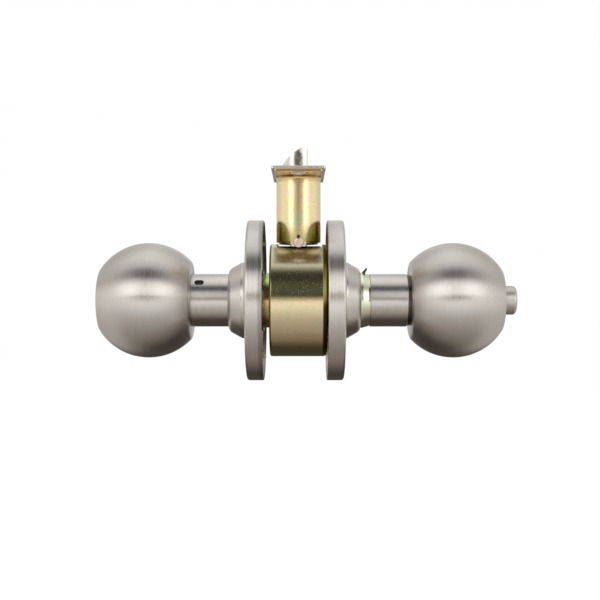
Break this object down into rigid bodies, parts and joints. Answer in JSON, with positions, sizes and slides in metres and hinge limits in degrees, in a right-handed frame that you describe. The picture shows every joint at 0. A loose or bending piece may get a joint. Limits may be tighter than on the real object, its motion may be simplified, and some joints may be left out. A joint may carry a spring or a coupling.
{
  "type": "cylindrical knob lock",
  "caption": "Cylindrical ball-knob door lock with roses, chassis drum, key cylinder, push button and a tubular spring latch.",
  "frame": {"origin": "where the knob axis crosses the latch axis, at the middle of the chassis drum", "axes": "+X along the knob axis towards the inside knob with its button, +Z along the latch towards its face plate, -Y towards the viewer of the picture"},
  "size_m": [0.1968, 0.0754, 0.1087],
  "materials": {
    "satin_knob": "satin brushed stainless steel, brushed round its axis",
    "satin_rose": "satin brushed stainless steel",
    "yellow_zinc": "yellow chromate zinc plate, semi-gloss",
    "pale_zinc": "pale gold chromate zinc plate with faint pink and green tints",
    "nickel": "nickel plated steel",
    "steel": "plain steel",
    "spring_steel": "dark spring steel",
    "brass": "plain brass"
  },
  "bodies": {
    "chassis": {"chassis_drum": "yellow_zinc", "chassis_cover": "yellow_zinc", "outer_hub": "yellow_zinc", "inner_hub": "yellow_zinc", "outer_mount_plate": "yellow_zinc", "outer_rose": "satin_rose", "inner_mount_plate": "yellow_zinc", "mounting_screws": "nickel", "inner_rose": "satin_rose", "inner_collar": "yellow_zinc", "rose_clip": "spring_steel", "retractor_guides": "yellow_zinc", "spring_seat": "yellow_zinc", "retractor_springs": "spring_steel", "latch_faceplate": "nickel", "latch_tube": "pale_zinc", "latch_end_cap": "pale_zinc", "latch_stud": "nickel", "bolt_spring": "spring_steel"},
    "outer_knob_body": {"outer_knob": "satin_knob", "outer_neck": "satin_knob", "outer_spindle": "steel", "outer_cam": "steel", "outer_catch": "steel", "outer_catch_spring": "spring_steel", "cylinder_shell": "brass", "bible_cover": "brass", "driver_pins": "brass", "pin_springs": "spring_steel"},
    "plug_body": {"key_plug": "brass", "key_pins": "brass", "plug_clip": "spring_steel", "tailpiece": "steel"},
    "inner_knob_body": {"inner_knob": "satin_knob", "inner_neck": "satin_knob", "inner_spindle": "steel", "inner_cam": "steel", "inner_catch": "steel", "inner_catch_spring": "spring_steel", "button_bushing": "steel", "button_spring": "spring_steel"},
    "button_body": {"push_button": "satin_knob", "locking_bar": "steel"},
    "retractor_body": {"retractor": "steel"},
    "bolt_body": {"latch_bolt": "nickel", "bolt_tail": "steel"}
  },
  "joints": [
    {"name": "outer_knob_turn", "type": "hinge", "parent": "chassis", "child": "outer_knob_body", "pos_m": [0, 0, 0], "axis": [1, 0, 0], "range_deg": [0, 75]},
    {"name": "inner_knob_turn", "type": "hinge", "parent": "chassis", "child": "inner_knob_body", "pos_m": [0, 0, 0], "axis": [1, 0, 0], "range_deg": [-75, 0]},
    {"name": "retractor_slide", "type": "slide", "parent": "chassis", "child": "retractor_body", "axis": [0, 0, -1], "range_m": [0, 0.01202], "stiffness_N_per_m": 120, "springref_m": -0.005, "deforming": ["retractor_springs"]},
    {"name": "latch_bolt_slide", "type": "slide", "parent": "chassis", "child": "bolt_body", "axis": [0, 0, -1], "range_m": [0, 0.01202], "stiffness_N_per_m": 150, "springref_m": -0.005, "deforming": ["bolt_spring"]},
    {"name": "key_plug_turn", "type": "hinge", "parent": "outer_knob_body", "child": "plug_body", "pos_m": [-0.08, 0, 0], "axis": [1, 0, 0], "range_deg": [-90, 90]},
    {"name": "push_button_slide", "type": "slide", "parent": "inner_knob_body", "child": "button_body", "axis": [-1, 0, 0], "range_m": [0, 0.004], "stiffness_N_per_m": 400, "springref_m": -0.002, "deforming": ["button_spring"]}
  ],
  "couplings": [
    {"joint": "inner_knob_turn", "follows": "outer_knob_turn", "ratio": -1},
    {"joint": "retractor_slide", "follows": "outer_knob_turn", "m_per_rad": 0.0091733},
    {"joint": "latch_bolt_slide", "follows": "outer_knob_turn", "m_per_rad": 0.0091733}
  ]
}
